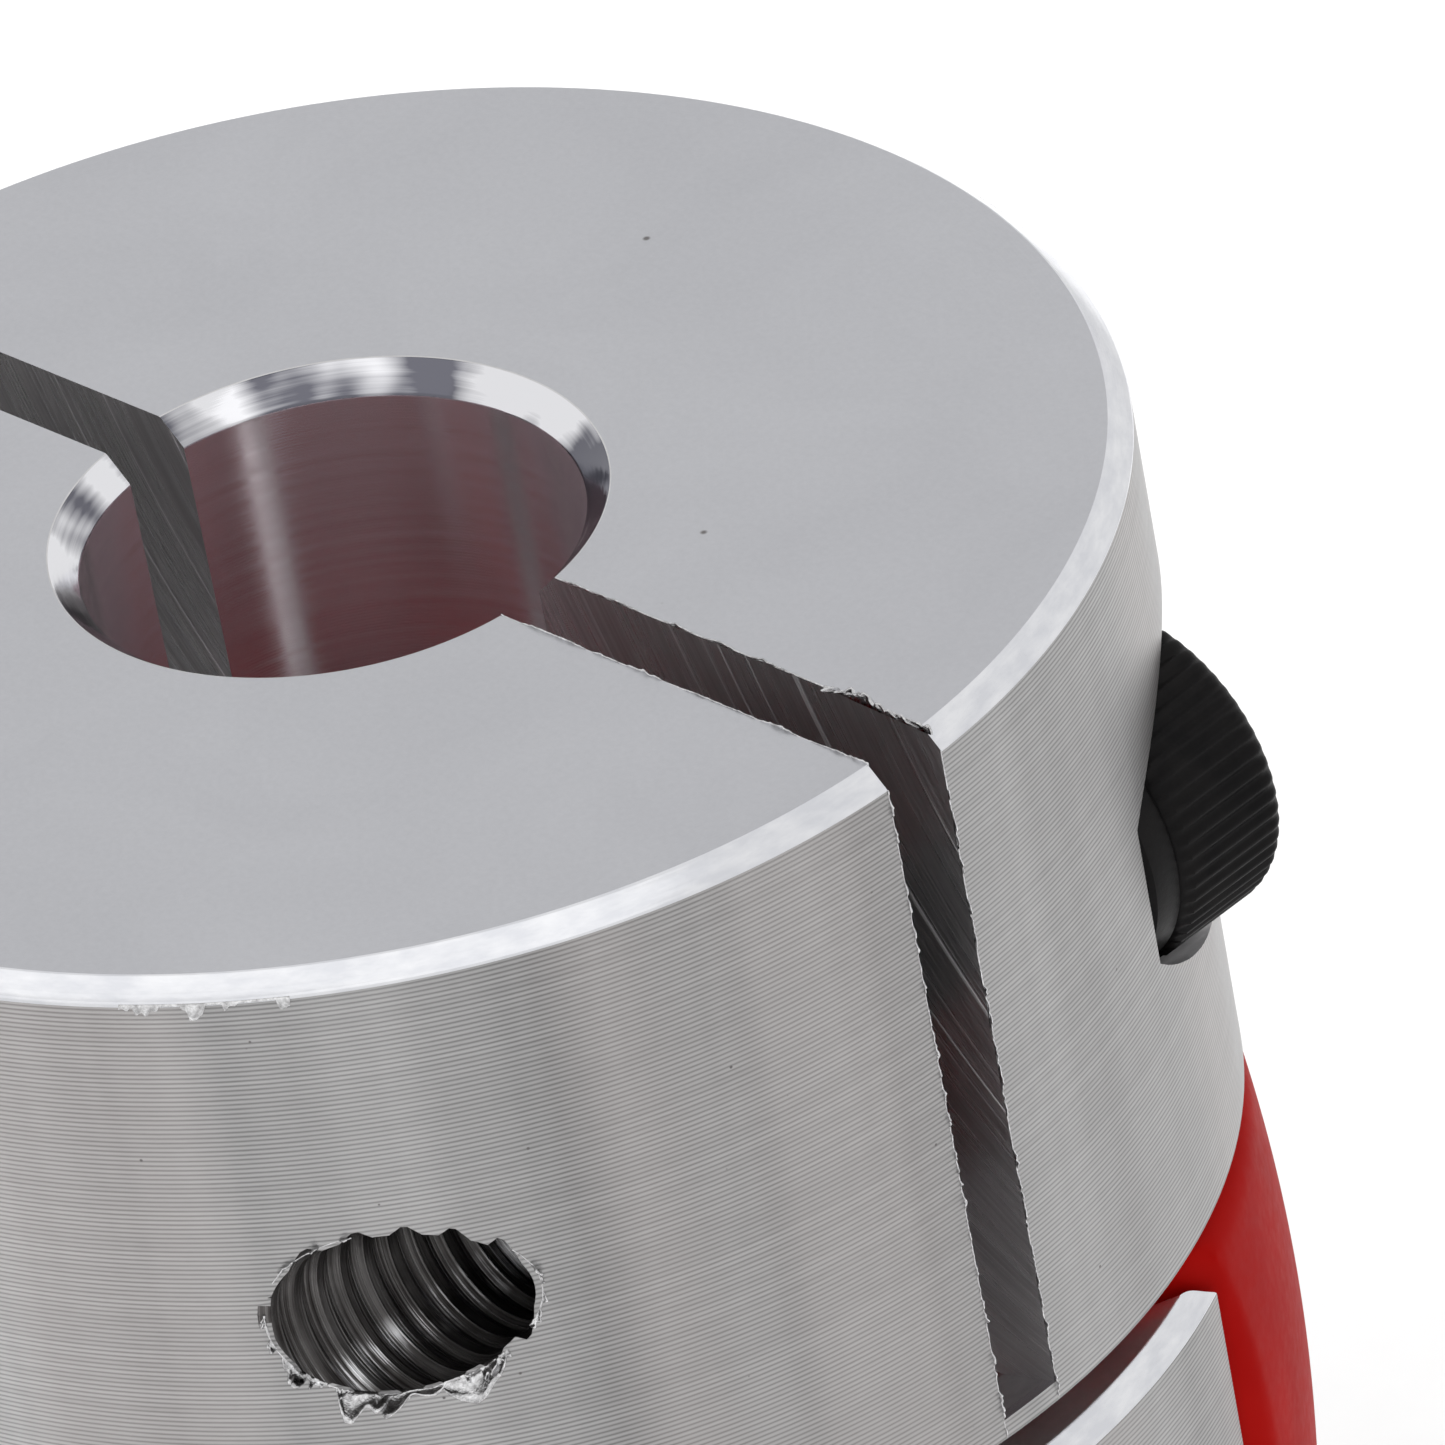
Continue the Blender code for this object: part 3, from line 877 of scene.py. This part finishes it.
def sawn_aluminium():
    """The walls of the slit: arcs left by the saw as it was fed in, and torn streaks along them."""
    s = Shader("sawn_aluminium")
    height = s.math("SUBTRACT", s.z, SAW_Z)
    below = s.math("SUBTRACT", SAW_R**2, s.math("MULTIPLY", height, height))
    reach = s.math("SQRT", s.math("MAXIMUM", below, 0.0))
    across = s.math("ADD", s.x, reach)

    def streaks(fineness, length, offset, detail, rough):
        along = s.vector(s.math("MULTIPLY", across, fineness), s.math("MULTIPLY", s.z, length), offset)
        return s.noise(along, 1.0, detail, rough)

    fine = streaks(9000.0, 60.0, 0.0, 4.0, 0.75)
    broad = streaks(1500.0, 25.0, 4.0, 3.0, 0.6)
    scores = s.span(streaks(4200.0, 12.0, 9.0, 2.0, 0.6), 0.64, 0.72, 0.0, 1.0)
    marks = s.math("ADD", s.math("MULTIPLY", fine, 0.6), s.math("MULTIPLY", broad, 0.4))
    marks = s.math("ADD", marks, s.math("MULTIPLY", scores, 0.35))
    colour = s.mix(s.span(marks, 0.42, 0.75, 0.0, 1.0), (0.60, 0.585, 0.59), (0.96, 0.95, 0.96))
    rough = s.math("ADD", s.span(marks, 0.4, 0.65, 0.33, 0.24), s.math("MULTIPLY", scores, 0.20))
    return s.finish(base_color=colour, metallic=1.0, roughness=rough, normal=s.bump(marks, 0.06 * MM, 0.8))


def milled_aluminium():
    """Jaw flanks, recess, pocket and holes: end-milled, a little rougher."""
    s = Shader("milled_aluminium")
    steps = s.noise(s.stretched(300.0, 300.0, 4200.0), 1.0, 3.0, 0.6)
    grain = s.noise(s.point, 2600.0, 4.0, 0.65)
    shade = s.math("ADD", s.math("MULTIPLY", steps, 0.6), s.math("MULTIPLY", grain, 0.4))
    colour = s.mix(s.span(shade, 0.35, 0.65, 0.0, 1.0), (0.62, 0.615, 0.62), (0.78, 0.775, 0.78))
    return s.finish(base_color=colour, metallic=1.0, roughness=s.span(shade, 0.35, 0.65, 0.42, 0.3),
                    normal=s.bump(shade, 0.012 * MM, 0.8))


def tapped_aluminium():
    """The thread of the clamp screw: torn lines that follow its helix over painted shade, and painted glints
    along the crests on one side.
    """
    s = Shader("tapped_aluminium")
    turn = s.math("ARCTAN2", s.math("SUBTRACT", s.z, SCREW_Z), s.math("SUBTRACT", s.x, SCREW_X))
    phase = s.math("ADD", s.math("MULTIPLY", s.y, math.tau / THREAD_PITCH), turn)
    turned = (s.math("MULTIPLY", s.math(wave, phase), 2.6) for wave in ("COSINE", "SINE"))
    helix = s.vector(*turned, s.math("MULTIPLY", s.y, 260.0))
    lines = s.noise(helix, 1.0, 5.0, 0.72)
    painted_light_patches = s.noise(s.stretched(420.0, 1500.0, 420.0), 1.0, 3.0, 0.6)
    shade = s.math("ADD", s.math("MULTIPLY", lines, 0.6), s.math("MULTIPLY", painted_light_patches, 0.4))
    # painted shade: the thread inside the hole gets a near-black colour for the shade in it, varied by the
    # torn lines and patches
    painted_hole_shade = s.mix(s.span(shade, 0.38, 0.60, 0.0, 1.0), (0.030, 0.026, 0.025), (0.19, 0.182, 0.18))
    # painted highlight: the thread crests on one side of the hole are painted near-white as glints
    glint_side = s.span(s.math("ABSOLUTE", s.math("SUBTRACT", turn, GLINT_TURN)), 0.08, 0.30, 1.0, 0.0)
    painted_glints = s.math("MULTIPLY", glint_side, s.span(shade, 0.50, 0.56, 0.0, 1.0))
    colour = s.mix(painted_glints, painted_hole_shade, (0.90, 0.90, 0.92))
    return s.finish(base_color=colour, metallic=1.0, roughness=s.span(lines, 0.35, 0.65, 0.36, 0.24),
                    normal=s.bump(lines, 0.04 * MM, 0.8))


def burr_aluminium():
    """Freshly torn flakes."""
    s = Shader("burr_aluminium")
    tears = s.noise(s.point, 4200.0, 4.0, 0.7)
    colour = s.mix(s.span(tears, 0.35, 0.65, 0.0, 1.0), (0.42, 0.415, 0.42), (0.92, 0.92, 0.93))
    return s.finish(base_color=colour, metallic=1.0, roughness=s.span(tears, 0.3, 0.7, 0.10, 0.26),
                    normal=s.bump(tears, 0.03 * MM, 0.8))


def black_steel():
    """Black oxide on the clamp screws: a thin oily film, browner where it is worn."""
    s = Shader("black_oxide")
    film = s.noise(s.point, 900.0, 4.0, 0.6, 0.4)
    grain = s.noise(s.point, 6500.0, 3.0, 0.7)
    colour = s.mix(s.span(film, 0.35, 0.7, 0.0, 1.0), (0.005, 0.0046, 0.005), (0.011, 0.010, 0.010))
    return s.finish(base_color=colour, metallic=0.0, specular_ior_level=0.09,
                    roughness=s.span(film, 0.3, 0.7, 0.34, 0.48), normal=s.bump(grain, 0.012 * MM, 0.7))


def red_polyurethane():
    """The moulded insert: satin red with a faint flow pattern."""
    s = Shader("red_polyurethane")
    flow = s.noise(s.point, 150.0, 3.0, 0.5, 1.2)
    grain = s.noise(s.point, 2400.0, 4.0, 0.6)
    colour = s.mix(s.span(flow, 0.3, 0.7, 0.0, 1.0), (0.355, 0.003, 0.002), (0.425, 0.006, 0.004))
    return s.finish(base_color=colour, metallic=0.0, roughness=s.span(grain, 0.3, 0.7, 0.42, 0.52),
                    normal=s.bump(grain, 0.01 * MM, 0.6), subsurface_weight=0.06,
                    subsurface_scale=0.5 * MM, specular_ior_level=0.02)


def paper_floor():
    s = Shader("floor_paper")
    fibre = s.noise(s.point, 500.0, 3.0)
    return s.finish(base_color=s.mix(fibre, (0.90, 0.90, 0.90), (0.93, 0.93, 0.93)), roughness=0.9,
                    specular_ior_level=0.1)


# What each tool left on a hub, in the order of the mesh's material slots
HUB_FINISHES = {
    "turned": turned_aluminium, "faced": faced_aluminium, "chamfer": chamfer_aluminium,
    "countersunk": countersunk_aluminium, "bored": bored_aluminium, "sawn": sawn_aluminium,
    "milled": milled_aluminium, "tapped": tapped_aluminium,
}
SKIN = 0.02 * MM                    # how near a face's centre lies to the surface that it belongs to
WALL = 0.012 * MM
UPRIGHT = 0.2                       # the most that the normal of an upright face leans
LEVEL = 0.99


def region_of(centre, normal):
    """Which tool made this part of the hub."""
    radius = math.hypot(centre.x, centre.y)
    from_screw = math.hypot(centre.x - SCREW_X, centre.z - SCREW_Z)
    if centre.z > TOP - SKIN and normal.z > LEVEL:
        return "faced"
    sawn_through = centre.x > 0.0 or centre.z > FLOOR
    if abs(abs(centre.y) - SLIT_W / 2) < WALL and abs(normal.y) > 0.9 and sawn_through:
        return "sawn"
    outside = radius > HUB_R - SKIN and (normal.x * centre.x + normal.y * centre.y) / radius > 0.98
    if centre.y < SLIT_W / 4 and from_screw < THREAD_MAJOR_R + SKIN and not outside:
        return "tapped"
    if radius > HUB_R - SKIN and abs(normal.z) < UPRIGHT:
        return "turned"
    if radius > HUB_R - OUTER_CHAMFER - 0.1 * MM and UPRIGHT < abs(normal.z) < LEVEL:
        return "chamfer"
    if radius < BORE_R + BORE_CHAMFER and centre.z > TOP - BORE_CHAMFER - 0.05 * MM and normal.z > UPRIGHT:
        return "countersunk"
    if radius < BORE_R + SKIN and abs(normal.z) < UPRIGHT:
        return "bored"
    return "milled"


def paint_hub(hub):
    for make in HUB_FINISHES.values():
        hub.data.materials.append(make())
    regions = list(HUB_FINISHES)
    for polygon in hub.data.polygons:
        polygon.material_index = regions.index(region_of(polygon.center, polygon.normal))


# ---------------------------------------------------------------- stage

def towards(azimuth, elevation):
    """The direction from the object to what hangs there; azimuth 0 is -Y and 90 is +X."""
    a, e = math.radians(azimuth), math.radians(elevation)
    return Vector((math.sin(a) * math.cos(e), -math.cos(a) * math.cos(e), math.sin(e)))


def main_camera():
    """A long lens that looks down on the open end of the slit, tipped by CAMERA_ROLL."""
    azimuth = math.radians(CAMERA_AZIMUTH)
    back = towards(CAMERA_AZIMUTH, CAMERA_ELEVATION)
    right = Vector((math.cos(azimuth), math.sin(azimuth), 0.0))
    turn = Matrix((right, back.cross(right), back)).transposed()
    turn = turn @ Matrix.Rotation(-math.radians(CAMERA_ROLL), 3, "Z")
    lens = bpy.data.cameras.new("camera")
    lens.lens = CAMERA_LENS
    lens.sensor_width = SENSOR_W
    lens.clip_start = 0.01
    camera = bpy.data.objects.new("camera", lens)
    camera.matrix_world = Matrix.Translation(CAMERA_AIM + back * CAMERA_DISTANCE) @ turn.to_4x4()
    bpy.context.scene.collection.objects.link(camera)
    bpy.context.scene.camera = camera


def hang(light, place, target):
    lamp = bpy.data.objects.new(light.name, light)
    lamp.location = place
    lamp.rotation_euler = (place - target).to_track_quat("Z", "Y").to_euler()
    bpy.context.scene.collection.objects.link(lamp)
    return lamp


def build_stage():
    bm = bmesh.new()
    bmesh.ops.create_grid(bm, x_segments=2, y_segments=2, size=FLOOR_SIZE)
    floor = mesh_object("floor", bm)
    floor.location.z = LOW.z - FLOOR_DROP
    floor.data.materials.append(paper_floor())

    world = bpy.data.worlds.new("studio")
    world.use_nodes = True
    background = world.node_tree.nodes["Background"]
    background.inputs["Color"].default_value = (1.0, 1.0, 1.0, 1.0)
    background.inputs["Strength"].default_value = WORLD_LIGHT
    bpy.context.scene.world = world

    azimuth, elevation, distance, size, power = FRONT_PANEL
    panel = bpy.data.lights.new("front_panel", "AREA")
    panel.shape = "RECTANGLE"
    panel.size, panel.size_y = size
    panel.energy = power
    top = Vector((0.0, 0.0, HIGH.z))
    hang(panel, towards(azimuth, elevation) * distance + top, top)

    for name, (start, target, cone, power) in FLOOR_WASHES.items():
        wash = bpy.data.lights.new(name, "SPOT")
        wash.energy = power
        wash.spot_size = math.radians(cone)
        wash.spot_blend = 1.0
        wash.shadow_soft_size = WASH_SOFTNESS
        hang(wash, Vector(start), Vector(target)).visible_glossy = False
    bpy.context.scene.view_settings.view_transform = "Standard"


# ---------------------------------------------------------------- scene

def place(obj, matrix, body, slot, node=None):
    obj.matrix_world = matrix
    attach(obj, body)
    if node:
        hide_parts(node)


def screw_matrix(joint, direction):
    """The frame of a screw whose head faces along direction; the joint gives its axis."""
    middle = Vector(JOINTS[joint]["pos_m"]) + direction * (SEAT_Y + HEAD_GAP)
    turn = direction.to_track_quat("Z", "X").to_matrix().to_4x4()
    return Matrix.Translation(middle) @ turn


def build_hubs():
    upper = hub_mesh()
    upper.name = "upper_hub_turned"
    paint_hub(upper)
    smooth_by_angle(upper, 32)
    lower = bpy.data.objects.new("lower_hub_turned", upper.data.copy())
    bpy.context.scene.collection.objects.link(lower)
    place(upper, TO_UPPER, "upper_hub", "aluminium", "upper_hub")
    place(lower, TO_LOWER, "lower_hub", "aluminium", "lower_hub")
    torn = burr_aluminium()
    for matrix, body in ((TO_UPPER, "upper_hub"), (TO_LOWER, "lower_hub")):
        prefix = body + "_burr_"
        burrs = rim_burrs(prefix) + slit_burrs(prefix)
        if body == "upper_hub":
            burrs += torn_edge(prefix)
            burrs.append(chamfer_burr(prefix + "chamfer", -60.0, -48.0, 0.16 * MM, 41))
        for burr in burrs:
            burr.data.materials.append(torn)
            place(burr, matrix, body, "aluminium")


def build_screws():
    finish = black_steel()
    for hub, direction in (("upper", Vector((0.0, 1.0, 0.0))), ("lower", Vector((1.0, 0.0, 0.0)))):
        screw = screw_mesh(f"{hub}_cap_screw")
        screw.data.materials.append(finish)
        place(screw, screw_matrix(f"{hub}_screw_turn", direction), f"{hub}_clamp_screw",
              "black_oxide_steel", f"{hub}_clamp_screw")


def build_spider():
    spider = spider_mesh()
    spider.data.materials.append(red_polyurethane())
    place(spider, TO_UPPER, "spider", "red_polyurethane", "spider")


main_camera()
build_hubs()
build_screws()
build_spider()
build_stage()
